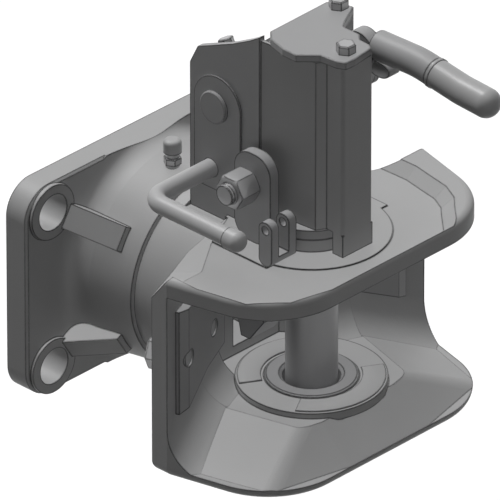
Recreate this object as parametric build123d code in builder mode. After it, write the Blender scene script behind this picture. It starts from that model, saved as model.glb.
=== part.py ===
"""Rotatable automatic towing jaw with a four-hole flange.

Millimetres. +Z is up, the mouth faces -Y and the flange's mounting face lies on Y = 0.
The origin is the centre of the flange's hole pattern. "Ahead" is a distance in front of
that face, so a point "d ahead" has Y = -d.
"""

import os
from math import asin, atan2, cos, degrees, hypot, radians, sin

from build123d import *

# Driving dimensions
# Clearances
slip = 0.3
running = 0.05

# Flange and its barrel
flange_width = 199
flange_height = 135
flange_corner_r = 19
flange_thick = 16
hole_spacing_x = 160
hole_spacing_z = 100
flange_hole_d = 22
hole_pad_r = 17
hole_pad_proud = 2
barrel_root_r = 76
barrel_waist_r = 65
barrel_waist_ahead = 31
barrel_front_r = 61
barrel_front = 60
gusset_thick = 15
gusset_reach = 82
gusset_crest_r = 66
gusset_front = 48

# Shaft, bush and nut in the barrel
shaft_r = 40
bush_wall = 5
thread_r = 30
rear_recess_r = 55
rear_recess_depth = 24
rear_washer_thick = 4
nut_across_flats = 84
nut_thick = 15
thrust_ring_thick = 3.2
thrust_ring_wall = 14
castle_slot = 6
split_pin_r = 2.4
split_pin_half = 47
flange_chamfer = 1.5

# Grease nipple on the barrel
nipple_x = -10
nipple_ahead = 43.5
nipple_base = 63
nipple_screw = 8
nipple_neck = 8
nipple_body_r = 3.5
nipple_cap_r = 5.3
nipple_cap_high = 8

# Jaw outline seen from above, half widths and distances ahead
neck_r = 58.6
waist_half = 54
waist_ahead = 98
rim_half = 104.5
rim_rear = 119
rim_front = 131
nose_half = 86.5
jaw_front = 204
nose_corner_r = 49
rim_corner_r = 7
throat_half = 34
throat_front = 102
throat_rear_half = 26
throat_rear = 92

# Jaw heights
jaw_bottom = -66.7
lip_top = -60
lower_seat = -42
upper_seat = 29
rim_bottom = 50
plate_floor = 55.5
jaw_top = 62
cove_r = 24
cove_sink = 0.8
bed_sink = 4
top_edge_r = 4.5
low_edge_r = 7
facet_blend_r = 18

# Top of the plate: sunk floor with a wide raised border on the right
floor_outline = (
    (-50, 80),
    (-92.5, 110),
    (-92.5, 148),
    (-86, 176),
    (-70, 191),
    (-46, 197),
    (50, 197),
    (62, 184),
    (68, 178),
    (73, 168),
    (75, 156),
    (77.5, 142),
    (76.7, 110),
    (50, 80),
)
# Rear shoulders: ridge (half width, ahead, height), then the wall's rear edge below it
left_shoulder = (
    ((24, 100, 55.5), (24, 98, 54.5)),
    ((49.5, 112.3, 55.5), (54, 98, 45.5)),
    ((76.7, 131, 55.5), (76.3, 107.4, 45.5)),
    ((92.5, 131, 55.5), (92.5, 114, 45.8)),
    ((99.7, 131, 61.5), (99.7, 117, 46)),
    ((108, 131, 61.5), (108, 120.5, 46)),
)
right_shoulder = (
    ((24, 100, 55.5), (24, 98, 54.5)),
    ((49.5, 112.3, 55.5), (54, 98, 45.5)),
    ((76.7, 131, 61.5), (76.3, 107.4, 45.5)),
    ((108, 131, 61.5), (108, 120.5, 46)),
)
shoulder_run = 1.5
floor_wall_slope = 48
raised_half = 49
raised_front = 154.5
raised_r = 45.5
raised_step = 0.8

# Coupling pin and its bushes
pin_ahead = 142.6
pin_r = 15
pin_tip = -56
pin_stroke = 84
seat_boss_r = 43.4
seat_boss_high = 3.5
low_bush_r = 26.7
low_bush_top = -37
low_bush_bore_r = 16.5
low_bush_body_r = 21
low_boss_r = 33
low_boss_bottom = -74
low_bush_deep = 26
pin_chamfer = 3
pin_spigot_r = 11.4
pin_spigot_long = 8
guide_r = 22
guide_bottom = 26.5
tower_boss_r = 26.5
tower_boss_top = 64

# Side pads
pad_inner_x = 38
pad_length = 59.5
pad_screw_z = 2
pad_screw_s = (20, 56)
pad_thick = 6
pad_low_inner = -16
pad_high = 34.6
pad_high_s = 43.5
pad_screw_r = 5
pad_head_af = 18
pad_head_thick = 7

# Tower and lid
base_plate_thick = 6
cover_wall = 2.5
cover_rear = 123
cover_rear_half = 21
cover_shoulder = 162
cover_shoulder_half = 17.5
nose_half_width = 12
cover_front = 178
lid_over_lever = 7.5
lid_thick = 4.5
lid_screw_af = 10
lid_screw_r = 3
lid_boss_r = 5
lid_boss_high = 17
lid_corner_r = 1
lid_edge_r = 0.8
lid_front_screw = (-2.6, 171)
lid_ear_screw = (31.5, 132.7)
lid_outline = (
    (-15, 124.4),
    (31, 123.5),
    (35.5, 127),
    (37.8, 138.5),
    (22, 147),
    (17.3, 150.2),
    (17.3, 162.5),
    (13, 167),
    (12.6, 175),
    (9.8, 178.4),
    (-5, 180.3),
    (-12, 180),
    (-14.4, 175),
    (-15.5, 163.5),
    (-24.9, 153.7),
    (-24.8, 143.5),
    (-21.5, 131),
)
ear_rear = 125
ear_front = 139
ear_out = 37
nose_corner = 2
nose_tab = 8

# Mechanism box behind the tower
box_rear = 69
box_half = 18
panel_thick = 4
panel_bottom = 52
panel_rear_up = 20.4
panel_front_up = 56.4
panel_corner_r = 3.5
rear_sheet = 3
rear_inset = 4.5
low_rear_up = 7.4
low_shoulder_run = 6
high_shoulder_run = 6
high_shoulder_rise = 12
high_mid_back = 21
high_mid_down = 12
high_front_back = 8
high_front_down = 5
low_front_back = 4
cover_set_in = 1
low_shoulder_up = 13.4
low_front_up = 51.4
tab_wide = 12
rear_screw_x = -10
rear_screw_af = 8
rear_screw_r = 2.5
arch_r = 18
arch_beyond_lift = 1.5
arch_up = 1.4
arch_thick = 1.5
arch_bottom = 70
shaft_cap_r = 10
shaft_cap_high = 2.5
shaft_end_proud = 1

# Bracket, its stud and the forked lug
bracket_x = -30.5
bracket_thick = 7
bracket_beyond_stud = 3.5
bracket_long = 28
bracket_over_stud = 20.5
bracket_corner_r = 12
stud_ahead = 125.5
stud_height = 92.5
stud_r = 6
stud_nut_af = 18.5
stud_nut_long = 15
fork_x = -38.5
fork_beyond_stud = 27.5
fork_wide = 20
fork_long = 10
fork_gap = 8
fork_root = 62
fork_top = 84
fork_hole_r = 2.5

# Lifting shaft and arms
lift_ahead = 90
crosshead_clear = 1
lift_shaft_r = 8
lift_arm_r = 60
arm_inner = 11.9
arm_thick = 3
arm_boss_r = 8
roller_r = 5
crosshead_half = 11.5
slot_play = 2.1
slot_lip = 3.5
roller_pin_r = 3
crosshead_core = 7.6
crosshead_rear = 126.5
crosshead_front = 157
lift_hub_r = 11
spring_play = 0.5
spring_wire_r = 1.75
spring_turns = 5
spring_half = 9.5
spring_tail = 6.4

# Hand lever
lever_ahead = 159.5
lever_up = 46.4
lever_hub_r = 11
lever_hub_in = 19.3
lever_shaft_r = 5.5
lever_boss_r = 7
crank_r = 20
crank_in = 22.5
crank_out = 28
crank_pin_r = 4
link_thick = 4
link_boss_r = 7
grip_r = 8.7
grip_x = 26.5
grip_end_r = 8.2
lever_bend_r = 60
lever_bar_points = ((9, 3.67), (40.5, 4.6), (51.5, 2.98))
lever_grip_points = ((51.8, 2.94), (72.5, -0.1), (99.3, -1.6))
crank_mid_angle = -54.6

# Bent release rod
rod_r = 5.4
rod_ahead = 86.5
rod_height = 83.1
rod_reach = 73
rod_end = 160
rod_bend_r = 11
rod_sleeve_start = 148
rod_sleeve_wall = 0.8

# Trigger
trigger_ahead = 95
trigger_height = 20
trigger_hub_r = 8
trigger_pin_r = 5
trigger_half = 10
trigger_tip = -28
trigger_slot_rear = 70
trigger_pin_half = 38
tail_half = 5
tail_room_rear = 88
tail_room_front = 114
trigger_outline = (
    (90, 27),
    (100, 26),
    (104, 10),
    (115, -12),
    (104, -27),
    (97, -27),
    (88, 15),
)
tail_outline = ((91, 24), (99, 24), (96, 66), (92, 66))

# Sizes that follow from the ones above
lift_half_angle = degrees(asin(pin_stroke / 2 / lift_arm_r))
crosshead_half_z = roller_r + slot_play + slot_lip
tower_base_top = tower_boss_top + base_plate_thick
crosshead_mid = tower_base_top + crosshead_clear + crosshead_half_z
lift_height = crosshead_mid + pin_stroke / 2
lever_height = lift_height + lever_up
pin_top = crosshead_mid - crosshead_half_z
wall_slope = degrees(atan2(rim_front - throat_front, rim_half - throat_half))
wall_length = hypot(rim_front - throat_front, rim_half - throat_half)
bore_r = shaft_r + bush_wall
arm_outer = arm_inner + arm_thick
lid_bottom = lever_height + lid_over_lever
lid_top = lid_bottom + lid_thick
panel_rear_top = lift_height + panel_rear_up
panel_front_top = lift_height + panel_front_up
low_rear_top = lift_height + low_rear_up
low_shoulder = box_rear + low_shoulder_run
low_shoulder_top = lift_height + low_shoulder_up
low_front_top = lift_height + low_front_up
arch_ahead = lift_ahead + arch_beyond_lift
arch_high = lift_height + arch_up
bracket_ahead = stud_ahead + bracket_beyond_stud
bracket_top = stud_height + bracket_over_stud
fork_ahead = stud_ahead + fork_beyond_stud
panel_outer = box_half + panel_thick


def ahead(*points):
    """Plan points from (X, distance ahead) pairs."""
    return [(x, -d) for x, d in points]


def mirrored(*points):
    """Whole plan outline from its right half, listed from rear to front."""
    right = ahead(*points)
    return right + [(-x, y) for x, y in reversed(right) if x != 0]


def upright(*points):
    """Points for a side plane from (distance ahead, height) pairs."""
    return [(-d, z) for d, z in points]


def side_plane(x):
    """Plane across X: its own x runs back along +Y and its own y runs up."""
    return Plane(origin=(x, 0, 0), x_dir=(0, 1, 0), z_dir=(1, 0, 0))


def from_lever(*points):
    """Points for a side plane from (ahead, up) steps away from the hand lever's axis."""
    return upright(*[(lever_ahead + d, lever_height + z) for d, z in points])


def at_angle(d, z, radius, angle):
    """Point (distance ahead, height) at a radius and an angle above straight ahead."""
    return d + radius * cos(radians(angle)), z + radius * sin(radians(angle))


def cross_bar(radius, x_from, x_to, d, z):
    """Round bar along X, d ahead and z high."""
    with BuildPart() as bar:
        with BuildSketch(side_plane(x_from)):
            with Locations((-d, z)):
                Circle(radius)
        extrude(amount=x_to - x_from)
    return bar.part


def hex_screw(seat, direction, across_flats, head, shank_r, length):
    """Hexagon screw: seat lies under its head and direction is where its shank points."""
    outward = Plane(origin=seat, z_dir=-Vector(*direction))
    with BuildPart() as screw:
        with BuildSketch(outward):
            RegularPolygon(across_flats / 2, 6, major_radius=False)
        extrude(amount=head)
        crown = screw.faces().sort_by(Axis(seat, tuple(outward.z_dir)))[-1]
        chamfer(crown.edges(), head * 0.12)
        with BuildSketch(outward):
            Circle(shank_r)
        extrude(amount=-length)
    return screw.part


def lever_arm(x_from, x_to, root, root_r, tip, tip_r):
    """Flat arm across X between two bosses, each a (distance ahead, height) pair."""
    with BuildPart() as arm:
        with BuildSketch(side_plane(x_from)):
            with Locations((-root[0], root[1])):
                Circle(root_r)
            with Locations((-tip[0], tip[1])):
                Circle(tip_r)
            make_hull()
        extrude(amount=x_to - x_from)
    return arm.part


def save(piece, name):
    """Label a finished piece and write its STEP file."""
    piece.label = name
    export_step(piece, f"parts/{name}.step")


os.makedirs("parts", exist_ok=True)

# Barrel of the housing, whose root flares out within the flange's height
with BuildPart() as barrel:
    with BuildSketch(Plane.XY):
        with BuildLine():
            root = (barrel_root_r, -flange_thick)
            waist = (barrel_waist_r, -barrel_waist_ahead)
            Polyline((0, -barrel_front), (0, 0), (barrel_root_r, 0), root)
            Bezier(root, (barrel_waist_r, -flange_thick), waist)
            Polyline(waist, (barrel_front_r, -barrel_front), (0, -barrel_front))
        make_face()
    revolve(axis=Axis.Y)
    with BuildSketch(Plane.XZ):
        Rectangle(flange_width, flange_height)
    extrude(amount=barrel_front, mode=Mode.INTERSECT)

# Flange housing
with BuildPart() as flange_housing:
    with BuildSketch(Plane.XZ):
        RectangleRounded(flange_width, flange_height, flange_corner_r)
    extrude(amount=flange_thick)
    chamfer(flange_housing.faces().sort_by(Axis.Y)[0].edges(), flange_chamfer)
    with BuildSketch(Plane.XZ):
        with GridLocations(hole_spacing_x, hole_spacing_z, 2, 2):
            Circle(hole_pad_r)
    extrude(amount=flange_thick + hole_pad_proud)
    gusset_angle = degrees(atan2(hole_spacing_z, hole_spacing_x))
    for angle in (gusset_angle, 180 - gusset_angle, 180 + gusset_angle, -gusset_angle):
        across = (cos(radians(angle)), 0, sin(radians(angle)))
        rib_plane = Plane(origin=(0, 0, 0), x_dir=across, z_dir=(across[2], 0, -across[0]))
        with BuildSketch(rib_plane):
            Polygon(
                (bore_r + 8, flange_thick / 2),
                (gusset_reach, flange_thick / 2),
                (gusset_reach, flange_thick + hole_pad_proud),
                (gusset_crest_r, gusset_front),
                (bore_r + 8, gusset_front + 2),
                align=None,
            )
        extrude(amount=gusset_thick / 2, both=True)
    add(barrel.part)
    with Locations(Plane.XZ.offset(flange_thick + hole_pad_proud)):
        with GridLocations(hole_spacing_x, hole_spacing_z, 2, 2):
            Hole(flange_hole_d / 2)
    with Locations(Plane(origin=(0, 0, 0), x_dir=(1, 0, 0), z_dir=(0, 1, 0))):
        CounterBoreHole(bore_r, rear_recess_r, rear_recess_depth)
    with Locations(Plane.XZ.offset(barrel_front)):
        Hole(shaft_r + thrust_ring_wall, thrust_ring_thick)
    with Locations((nipple_x, -nipple_ahead, barrel_front_r)):
        Hole(nipple_body_r, barrel_front_r - shaft_r)
save(flange_housing.part, "flange_housing")

# Grease nipple and its cap, upright on top of the barrel
with BuildPart() as grease_nipple:
    with BuildSketch(Plane.XY.offset(nipple_base - nipple_screw)):
        with Locations((nipple_x, -nipple_ahead)):
            Circle(nipple_body_r)
    extrude(amount=nipple_screw + nipple_neck)
    with BuildSketch(Plane.XY.offset(nipple_base + slip * 2)):
        with Locations((nipple_x, -nipple_ahead)):
            RegularPolygon(nipple_body_r + 1, 6, major_radius=False)
    extrude(amount=4)
save(grease_nipple.part, "grease_nipple")

with BuildPart() as nipple_cap:
    with BuildSketch(Plane.XY.offset(nipple_base + nipple_neck)):
        with Locations((nipple_x, -nipple_ahead)):
            Circle(nipple_cap_r)
    extrude(amount=nipple_cap_high)
    fillet(nipple_cap.faces().sort_by(Axis.Z)[-1].edges(), nipple_cap_r * 0.45)
save(nipple_cap.part, "nipple_cap")

# Bush, washer and ring that carry the turning shaft
with BuildPart() as bearing_bush:
    with BuildSketch(Plane.XZ.offset(rear_recess_depth)):
        Circle(bore_r)
        Circle(shaft_r + running, mode=Mode.SUBTRACT)
    extrude(amount=barrel_front - thrust_ring_thick - rear_recess_depth)
save(bearing_bush.part, "bearing_bush")

with BuildPart() as rear_washer:
    with BuildSketch(Plane.XZ.offset(rear_recess_depth - rear_washer_thick)):
        Circle(rear_recess_r - slip)
        Circle(shaft_r + running, mode=Mode.SUBTRACT)
    extrude(amount=rear_washer_thick)
save(rear_washer.part, "rear_washer")

with BuildPart() as thrust_ring:
    with BuildSketch(Plane.XZ.offset(barrel_front - thrust_ring_thick)):
        Circle(shaft_r + thrust_ring_wall)
        Circle(shaft_r + running, mode=Mode.SUBTRACT)
    extrude(amount=thrust_ring_thick)
save(thrust_ring.part, "thrust_ring")

# Castle nut with its split pin, on the shaft's thread inside the rear recess
nut_front = rear_recess_depth - rear_washer_thick - slip
nut_rear = nut_front - nut_thick
with BuildPart() as castle_nut:
    with BuildSketch(Plane.XZ.offset(nut_rear)):
        RegularPolygon(nut_across_flats / 2, 6, major_radius=False)
        Circle(thread_r, mode=Mode.SUBTRACT)
    extrude(amount=nut_thick)
    with BuildSketch(Plane.XZ.offset(nut_rear)):
        with PolarLocations(0, 3):
            Rectangle(nut_across_flats * 1.2, castle_slot)
    extrude(amount=castle_slot, mode=Mode.SUBTRACT)
save(castle_nut.part, "castle_nut")

split_pin_ahead = nut_rear + castle_slot / 2
with BuildPart() as split_pin:
    with BuildSketch(Plane.YZ.offset(-split_pin_half)):
        with Locations((-split_pin_ahead, 0)):
            Circle(split_pin_r)
    extrude(amount=2 * split_pin_half)
    with BuildSketch(Plane.YZ.offset(-split_pin_half)):
        with Locations((-split_pin_ahead, 0)):
            Circle(split_pin_r * 1.25)
    extrude(amount=-2)
save(split_pin.part, "split_pin")

# Outer form of the jaw, seen from above, with its rounded top and lower rear edges
with BuildPart() as outer_form:
    with BuildSketch(Plane.XY.offset(jaw_bottom)) as jaw_plan:
        Polygon(
            *mirrored(
                (waist_half, waist_ahead),
                (rim_half, rim_rear),
                (rim_half, rim_front),
                (nose_half, jaw_front),
            ),
            align=None,
        )
        corners = jaw_plan.vertices().group_by(Axis.Y)
        fillet(corners[0], nose_corner_r)
        fillet(corners[-2] + corners[-3], rim_corner_r)
    extrude(amount=jaw_top - jaw_bottom)
    top_rim = outer_form.faces().sort_by(Axis.Z)[-1].edges()
    fillet(top_rim, top_edge_r)
    low_rim = outer_form.faces().sort_by(Axis.Z)[0].edges()
    fillet(low_rim, low_edge_r)

    with BuildSketch(Plane.XZ.offset(barrel_front + slip)):
        Circle(neck_r)
    extrude(amount=waist_ahead - barrel_front - slip)

# Mouth between the two lips, and the coves at the foot of its flared walls
mouth_reach = jaw_front + 30
flare = (rim_front - throat_front) / (rim_half - throat_half)
mouth_half = rim_half + 15
with BuildPart() as mouth:
    with BuildSketch(Plane.XY.offset(lip_top)):
        Polygon(
            *mirrored(
                (throat_rear_half, throat_rear),
                (throat_half, throat_front),
                (mouth_half, rim_front + flare * (mouth_half - rim_half)),
                (mouth_half, mouth_reach),
            ),
            align=None,
        )
    extrude(amount=rim_bottom - lip_top)

# Facets of the two lips, as raised beds that close the funnel towards the pin
bed_rear = (throat_rear_half, throat_rear - bed_sink)
bed_seat = mirrored(bed_rear, (61.4, 108), (43, 176), (29, 179))
bed_foot = mirrored(bed_rear, (107.5, 108), (84, 191.6), (31, 203.8))


def lip_bed(foot_height, seat_height):
    """Faceted bed of one lip, from the lip's outer edge to the seat around the pin."""
    with BuildPart() as bed:
        with BuildSketch(Plane.XY.offset(foot_height)):
            Polygon(*bed_foot, align=None)
        with BuildSketch(Plane.XY.offset(seat_height)):
            Polygon(*bed_seat, align=None)
        loft(ruled=True)
        ahead_of_seat = bed.edges().filter_by(lambda e: e.length > 10)
        ridges = ahead_of_seat.filter_by(
            lambda e: abs((e % 0.5).Z) > 0.1 and (e @ 0.5).Y < -pin_ahead
        )
        fillet(ridges, facet_blend_r)
    return bed.part


def wall_plane(s, z):
    """Plane across the right flared wall, s along it: x leaves the wall and y runs up."""
    along = Vector(cos(radians(wall_slope)), -sin(radians(wall_slope)), 0)
    leaving = (-sin(radians(wall_slope)), -cos(radians(wall_slope)), 0)
    start = Vector(throat_half, -throat_front, z) + along * s
    return Plane(origin=start, x_dir=leaving, z_dir=-along)


# Each cove rises with the bed beside it, then runs level into the throat
seat_s = (bed_seat[1][0] - throat_half) / cos(radians(wall_slope))


def bed_height(s):
    """Height of the lower bed where it meets the wall, s along the wall."""
    return lower_seat + (lip_top - lower_seat) * (s - seat_s) / (wall_length - seat_s)


outside_s = wall_length + 6
with BuildPart() as cove:
    for s, height, to_s, to_height in (
        (outside_s, bed_height(outside_s), seat_s, lower_seat),
        (seat_s, lower_seat, 0, lower_seat),
    ):
        with BuildSketch(wall_plane(s, height - cove_sink)):
            with BuildLine():
                Polyline((0, cove_r), (-2, cove_r), (-2, -4), (cove_r, -4), (cove_r, 0))
                RadiusArc((cove_r, 0), (0, cove_r), cove_r)
            make_face()
        run = wall_plane(to_s, to_height).origin - wall_plane(s, height).origin
        extrude(amount=run.length, dir=run.normalized())

# Funnel: the outer form with the mouth cut, the beds and coves added and all trimmed
with BuildPart() as funnel:
    add(outer_form.part)
    add(mouth.part, mode=Mode.SUBTRACT)
    add(lip_bed(lip_top, lower_seat))
    add(lip_bed(rim_bottom, upper_seat))
    add(cove.part)
    add(cove.part.mirror(Plane.YZ))
    add(outer_form.part, mode=Mode.INTERSECT)

# Screws that hold the side pads, set from behind the flared walls
def wall_face(offset=0):
    """Plane on the right flared wall: x runs outward along it, y up, z leaves the wall."""
    along = (cos(radians(wall_slope)), -sin(radians(wall_slope)), 0)
    leaving = (-sin(radians(wall_slope)), -cos(radians(wall_slope)), 0)
    start = Vector(throat_half, -throat_front, 0) + Vector(*leaving) * offset
    return Plane(origin=start, x_dir=along, z_dir=leaving)


wall_thick = (rim_front - rim_rear) * cos(radians(wall_slope))
with BuildPart() as pad_screws:
    for s in pad_screw_s:
        seat = wall_face(-wall_thick) * Pos(s, pad_screw_z)
        direction = wall_face().z_dir
        reach = wall_thick + pad_thick - 1
        screw = hex_screw(seat.position, tuple(direction), pad_head_af, pad_head_thick,
                          pad_screw_r, reach)
        add(screw)
        add(screw.mirror(Plane.YZ))
save(pad_screws.part, "pad_screws")

def shoulder_cut(edges, side):
    """Room above one rear shoulder, through the sections whose two ends are given."""
    sections = []
    for (x, ridge, high), (rear_x, rear, low) in edges:
        far_x = x + (rear_x - x) * shoulder_run
        far = ridge + (rear - ridge) * shoulder_run
        far_z = high + (low - high) * shoulder_run
        top = jaw_top + 10
        corners = ((x, ridge, high), (far_x, far, far_z), (far_x, far, top), (x, ridge, top))
        outline = [(side * cx, -d, z) for cx, d, z in corners]
        sections.append(Face(Wire.make_polygon(outline)))
    return Solid.make_loft([s.outer_wire() for s in sections], ruled=True)


# Jaw casting: funnel, neck and shaft, with seats for everything that it carries
with BuildPart() as jaw_casting:
    add(funnel.part)
    with BuildSketch(Plane.XZ.offset(nut_front)):
        Circle(shaft_r)
    extrude(amount=barrel_front + slip - nut_front)
    with BuildSketch(Plane.XZ.offset(nut_rear - 3)):
        Circle(thread_r)
    extrude(amount=nut_front - nut_rear + 3)
    with BuildSketch(Plane.XY.offset(plate_floor)) as floor:
        Polygon(*ahead(*floor_outline), align=None)
    extrude(amount=jaw_top - plate_floor + 1, taper=-floor_wall_slope, mode=Mode.SUBTRACT)
    with BuildSketch(Plane.XY.offset(plate_floor - 1)):
        Polygon(*mirrored((raised_half, waist_ahead), (raised_half, raised_front)), align=None)
        with Locations((0, -pin_ahead)):
            Circle(raised_r)
    extrude(amount=1 + raised_step)
    add(shoulder_cut(left_shoulder, -1), mode=Mode.SUBTRACT)
    add(shoulder_cut(right_shoulder, 1), mode=Mode.SUBTRACT)
    with BuildSketch(Plane.XY.offset(plate_floor - 1)):
        with Locations((0, -(box_rear + cover_rear) / 2)):
            Rectangle(2 * box_half, cover_rear - box_rear)
    extrude(amount=jaw_top - plate_floor + 1)
    with BuildSketch(Plane.XY.offset(plate_floor)):
        with Locations((0, -pin_ahead)):
            Circle(tower_boss_r)
    extrude(amount=tower_boss_top - plate_floor)
    with BuildSketch(Plane.XY.offset(panel_bottom)):
        for side in (-1, 1):
            with Locations((side * (box_half + 6), -(box_rear + waist_ahead) / 2)):
                Rectangle(12, waist_ahead - box_rear)
    extrude(amount=20, mode=Mode.SUBTRACT)
    with BuildSketch(Plane.XY.offset(low_boss_bottom)):
        with Locations((0, -pin_ahead)):
            Circle(low_boss_r)
    extrude(amount=lower_seat - 4 - low_boss_bottom)
    with BuildSketch(Plane.XY.offset(lower_seat - 2)):
        with Locations((0, -pin_ahead)):
            Circle(seat_boss_r)
    extrude(amount=seat_boss_high + 2)
    with BuildSketch(Plane.XY.offset(lower_seat)):
        with Locations((0, -pin_ahead)):
            Circle(low_bush_r + slip)
    extrude(amount=seat_boss_high, mode=Mode.SUBTRACT)
    with Locations((0, -pin_ahead, tower_boss_top)):
        CounterBoreHole(low_bush_body_r, guide_r, tower_boss_top - lower_seat - 10)
    with BuildSketch(Plane.XY.offset(trigger_tip - 8)):
        with Locations((0, -(trigger_slot_rear + throat_front) / 2)):
            Rectangle(2 * trigger_half + 2, throat_front - trigger_slot_rear)
    extrude(amount=upper_seat + 1 - (trigger_tip - 8), mode=Mode.SUBTRACT)
    with BuildSketch(Plane.XY.offset(trigger_height)):
        with Locations((0, -(tail_room_rear + tail_room_front) / 2)):
            Rectangle(2 * tail_half + 3, tail_room_front - tail_room_rear)
    extrude(amount=jaw_top, mode=Mode.SUBTRACT)
    add(cross_bar(trigger_pin_r, -trigger_pin_half, trigger_pin_half, trigger_ahead,
                  trigger_height), mode=Mode.SUBTRACT)
    add(split_pin.part, mode=Mode.SUBTRACT)
    add(pad_screws.part, mode=Mode.SUBTRACT)
save(jaw_casting.part, "jaw_casting")

# Lower bush with its flange, and the upper guide
with BuildPart() as lower_bush:
    with BuildSketch(Plane.XY.offset(lower_seat - low_bush_deep)):
        with Locations((0, -pin_ahead)):
            Circle(low_bush_body_r)
    extrude(amount=low_bush_deep)
    with BuildSketch(Plane.XY.offset(lower_seat)):
        with Locations((0, -pin_ahead)):
            Circle(low_bush_r)
    extrude(amount=low_bush_top - lower_seat)
    chamfer(lower_bush.faces().sort_by(Axis.Z)[-1].edges(), 1)
    with Locations((0, -pin_ahead, low_bush_top)):
        CounterSinkHole(low_bush_bore_r, low_bush_bore_r + 2, counter_sink_angle=90)
save(lower_bush.part, "lower_bush")

with BuildPart() as pin_guide:
    with BuildSketch(Plane.XY.offset(upper_seat)):
        with Locations((0, -pin_ahead)):
            Circle(guide_r)
    extrude(amount=tower_boss_top - upper_seat)
    with BuildSketch(Plane.XY.offset(guide_bottom)):
        with Locations((0, -pin_ahead)):
            Circle(guide_r + 4)
    extrude(amount=upper_seat - guide_bottom)
    with Locations((0, -pin_ahead, tower_boss_top)):
        Hole(pin_r + running)
save(pin_guide.part, "pin_guide")


# Side pads on the flared walls
pad_in_s = (pad_inner_x - throat_half) / cos(radians(wall_slope))
pad_out_s = pad_in_s + pad_length
with BuildPart() as right_pad:
    with BuildSketch(wall_face()):
        Polygon(
            (pad_in_s, upper_seat - slip),
            (seat_s, upper_seat - slip),
            (pad_high_s, pad_high),
            (pad_out_s, pad_high),
            (pad_out_s, bed_height(pad_out_s) + cove_r - cove_sink + slip),
            (seat_s, lower_seat + cove_r - cove_sink + slip),
            (pad_in_s, pad_low_inner),
            align=None,
        )
    extrude(amount=pad_thick)
    outer_edges = right_pad.faces().sort_by(Axis.X)[-1].edges()
    chamfer(outer_edges.filter_by(Axis.Z).sort_by(Axis.Y)[0], pad_thick * 0.6, pad_thick)
    with Locations(*[wall_face(pad_thick) * Pos(s, pad_screw_z) for s in pad_screw_s]):
        Hole(pad_screw_r, pad_thick)
save(right_pad.part, "right_pad")
save(right_pad.part.mirror(Plane.YZ), "left_pad")

# Base plate and cover of the tower
with BuildPart() as tower_base:
    with BuildSketch(Plane.XY.offset(tower_boss_top)):
        with Locations((0, -pin_ahead)):
            Circle(tower_boss_r)
        Polygon(*mirrored((cover_rear_half - 1, cover_rear), (cover_rear_half - 1, pin_ahead)),
                align=None)
        with Locations((0, -cover_rear + tower_boss_r)):
            Rectangle(4 * tower_boss_r, 2 * tower_boss_r, mode=Mode.SUBTRACT)
        with Locations((0, -pin_ahead)):
            Circle(pin_r + slip, mode=Mode.SUBTRACT)
    extrude(amount=base_plate_thick)
save(tower_base.part, "tower_base")

cover_outline = mirrored(
    (cover_rear_half, cover_rear),
    (cover_shoulder_half, cover_shoulder),
    (nose_half_width, cover_shoulder + 3.5),
    (nose_half_width, cover_front),
)
with BuildPart() as tower_cover:
    with BuildSketch(Plane.XY.offset(tower_base_top)) as cover_plan:
        Polygon(*cover_outline, align=None)
        fillet(cover_plan.vertices().group_by(Axis.Y)[0], nose_corner)
    extrude(amount=lid_bottom - tower_base_top)
    with BuildSketch(Plane.XY.offset(plate_floor + raised_step)):
        with Locations((0, -(cover_front - nose_tab / 2))):
            Rectangle(2 * nose_half_width, nose_tab)
    extrude(amount=tower_base_top - plate_floor - raised_step)
    with BuildSketch(Plane.XY.offset(tower_base_top)) as cover_room:
        Polygon(*cover_outline, align=None)
        offset(amount=-cover_wall, kind=Kind.INTERSECTION)
        with Locations((0, -cover_rear)):
            Rectangle(2 * (cover_rear_half - cover_wall), 4 * cover_wall)
    extrude(amount=lid_bottom - tower_base_top, mode=Mode.SUBTRACT)
    with BuildSketch(Plane.XY.offset(lid_bottom)):
        with Locations((lid_front_screw[0], -lid_front_screw[1])):
            Circle(lid_boss_r)
    extrude(amount=-lid_boss_high)
    with BuildSketch(Plane.XY.offset(lid_bottom)):
        Polygon(
            *ahead(
                (cover_rear_half - cover_wall, ear_rear),
                (ear_out, ear_rear),
                (ear_out, ear_front),
                (cover_rear_half - cover_wall, ear_front + 3),
            ),
            align=None,
        )
    extrude(amount=-lid_boss_high)
    add(cross_bar(lever_boss_r, crosshead_half + 1, lever_hub_in - slip, lever_ahead,
                  lever_height))
    add(cross_bar(lever_shaft_r + running, 0, lever_hub_in + 1, lever_ahead, lever_height),
        mode=Mode.SUBTRACT)
    with Locations((lid_front_screw[0], -lid_front_screw[1], lid_bottom)):
        Hole(lid_screw_r, lid_boss_high - 1)
    with Locations((lid_ear_screw[0], -lid_ear_screw[1], lid_bottom)):
        Hole(lid_screw_r, lid_boss_high - 1)
save(tower_cover.part, "tower_cover")

# Lid over the tower, with an ear at the right rear and a notch for the lever's hub
with BuildPart() as lid:
    with BuildSketch(Plane.XY.offset(lid_bottom)) as lid_plan:
        Polygon(*ahead(*lid_outline), align=None)
        fillet(lid_plan.vertices(), lid_corner_r)
    extrude(amount=lid_thick)
    fillet(lid.faces().sort_by(Axis.Z)[-1].edges(), lid_edge_r)
    for x, d in (lid_front_screw, lid_ear_screw):
        with Locations((x, -d, lid_top)):
            Hole(lid_screw_r)
save(lid.part, "lid")

with BuildPart() as lid_screws:
    for x, d in (lid_front_screw, lid_ear_screw):
        add(hex_screw((x, -d, lid_top), (0, 0, -1), lid_screw_af, lid_screw_af * 0.55,
                      lid_screw_r, lid_thick + lid_boss_high - 3))
save(lid_screws.part, "lid_screws")

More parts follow.
